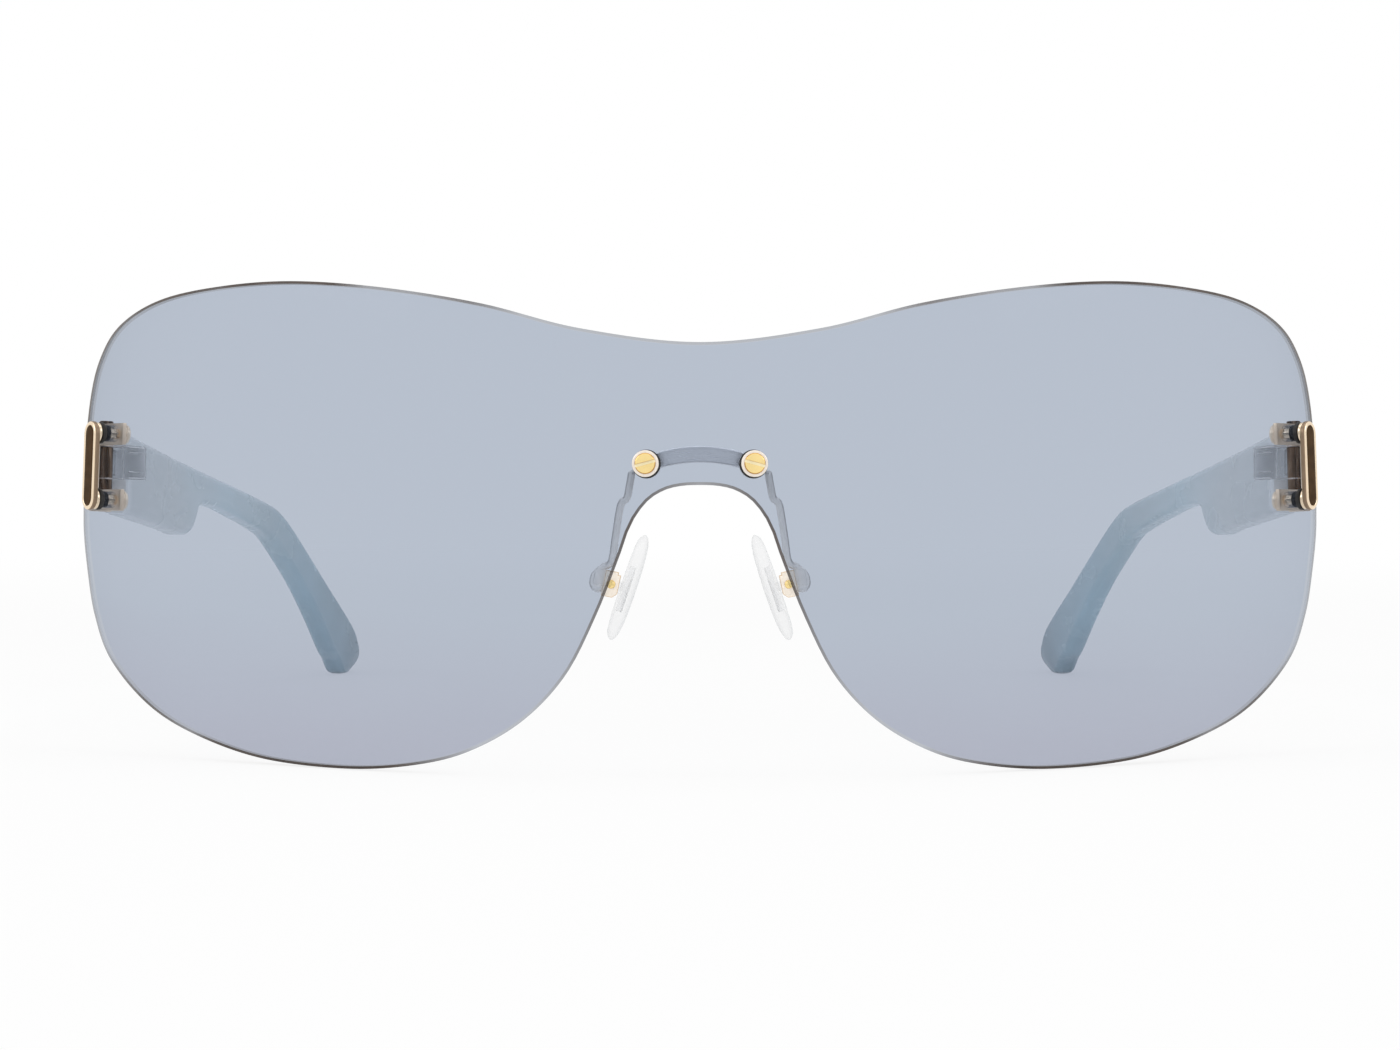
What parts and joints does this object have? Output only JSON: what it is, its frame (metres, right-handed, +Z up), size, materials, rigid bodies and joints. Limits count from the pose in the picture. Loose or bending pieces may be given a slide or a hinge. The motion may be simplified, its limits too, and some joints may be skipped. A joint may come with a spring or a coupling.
{
  "type": "shield sunglasses",
  "caption": "Rimless shield sunglasses: a wide curved tinted lens, a metal bridge bar with rocking nose pads, and translucent temples that fold on screw hinges.",
  "frame": {"origin": "middle of the bounding box's bottom face, on the surface the open glasses stand on", "axes": "+Z up, -Y the way the lens faces, +Y back along the temples, +X the wearer's left"},
  "size_m": [0.15, 0.1692, 0.0558],
  "materials": {
    "smoke_lens": "clear blue-grey tint, glossy",
    "pale_gold": "polished pale gold plate",
    "yellow_gold": "polished yellow gold plate",
    "satin_steel": "satin metal",
    "dark_bronze": "dark bronze plate",
    "brown_inlay": "dark brown enamel",
    "black_rubber": "matt",
    "pale_washer": "pale satin",
    "clear_plastic": "clear",
    "clear_silicone": "clear, soft",
    "grey_acetate": "milky grey-blue, translucent, polished"
  },
  "bodies": {
    "front": {"lens": "smoke_lens", "bridge_bar": "satin_steel", "bezel_left": "pale_gold", "bezel_inlay_left": "brown_inlay", "gasket_upper_left": "black_rubber", "gasket_lower_left": "black_rubber", "collar_upper_left": "pale_gold", "collar_lower_left": "pale_gold", "post_nut_upper_left": "pale_gold", "post_nut_lower_left": "pale_gold", "hinge_fork_left": "pale_gold", "hinge_screw_left": "dark_bronze", "bridge_screw_left": "yellow_gold", "bridge_washer_left": "pale_washer", "bridge_sleeve_left": "clear_plastic", "bridge_nut_left": "yellow_gold", "pad_arm_left": "satin_steel", "pad_box_left": "pale_gold", "pad_screw_left": "yellow_gold", "bezel_right": "pale_gold", "bezel_inlay_right": "brown_inlay", "gasket_upper_right": "black_rubber", "gasket_lower_right": "black_rubber", "collar_upper_right": "pale_gold", "collar_lower_right": "pale_gold", "post_nut_upper_right": "pale_gold", "post_nut_lower_right": "pale_gold", "hinge_fork_right": "pale_gold", "hinge_screw_right": "dark_bronze", "bridge_screw_right": "yellow_gold", "bridge_washer_right": "pale_washer", "bridge_sleeve_right": "clear_plastic", "bridge_nut_right": "yellow_gold", "pad_arm_right": "satin_steel", "pad_box_right": "pale_gold", "pad_screw_right": "yellow_gold"},
    "temple_assembly_left": {"temple_left": "grey_acetate", "hinge_block_left": "clear_plastic", "hinge_tongue_left": "dark_bronze"},
    "pad_assembly_left": {"nose_pad_left": "clear_silicone", "pad_core_left": "clear_plastic"},
    "temple_assembly_right": {"temple_right": "grey_acetate", "hinge_block_right": "clear_plastic", "hinge_tongue_right": "dark_bronze"},
    "pad_assembly_right": {"nose_pad_right": "clear_silicone", "pad_core_right": "clear_plastic"}
  },
  "joints": [
    {"name": "temple_fold_left", "type": "hinge", "parent": "front", "child": "temple_assembly_left", "pos_m": [0.07292, -0.03852, 0.03367], "axis": [-0.0332, 0.058, 0.9978], "range_deg": [0, 90]},
    {"name": "temple_fold_right", "type": "hinge", "parent": "front", "child": "temple_assembly_right", "pos_m": [-0.07292, -0.03852, 0.03367], "axis": [-0.0332, -0.058, -0.9978], "range_deg": [0, 84]},
    {"name": "pad_rock_left", "type": "hinge", "parent": "front", "child": "pad_assembly_left", "pos_m": [0.01005, -0.07498, 0.02128], "axis": [0, 0.9994, -0.0347], "range_deg": [-8, 8]},
    {"name": "pad_rock_right", "type": "hinge", "parent": "front", "child": "pad_assembly_right", "pos_m": [-0.01005, -0.07498, 0.02128], "axis": [0, 0.9994, -0.0347], "range_deg": [-8, 8]}
  ]
}
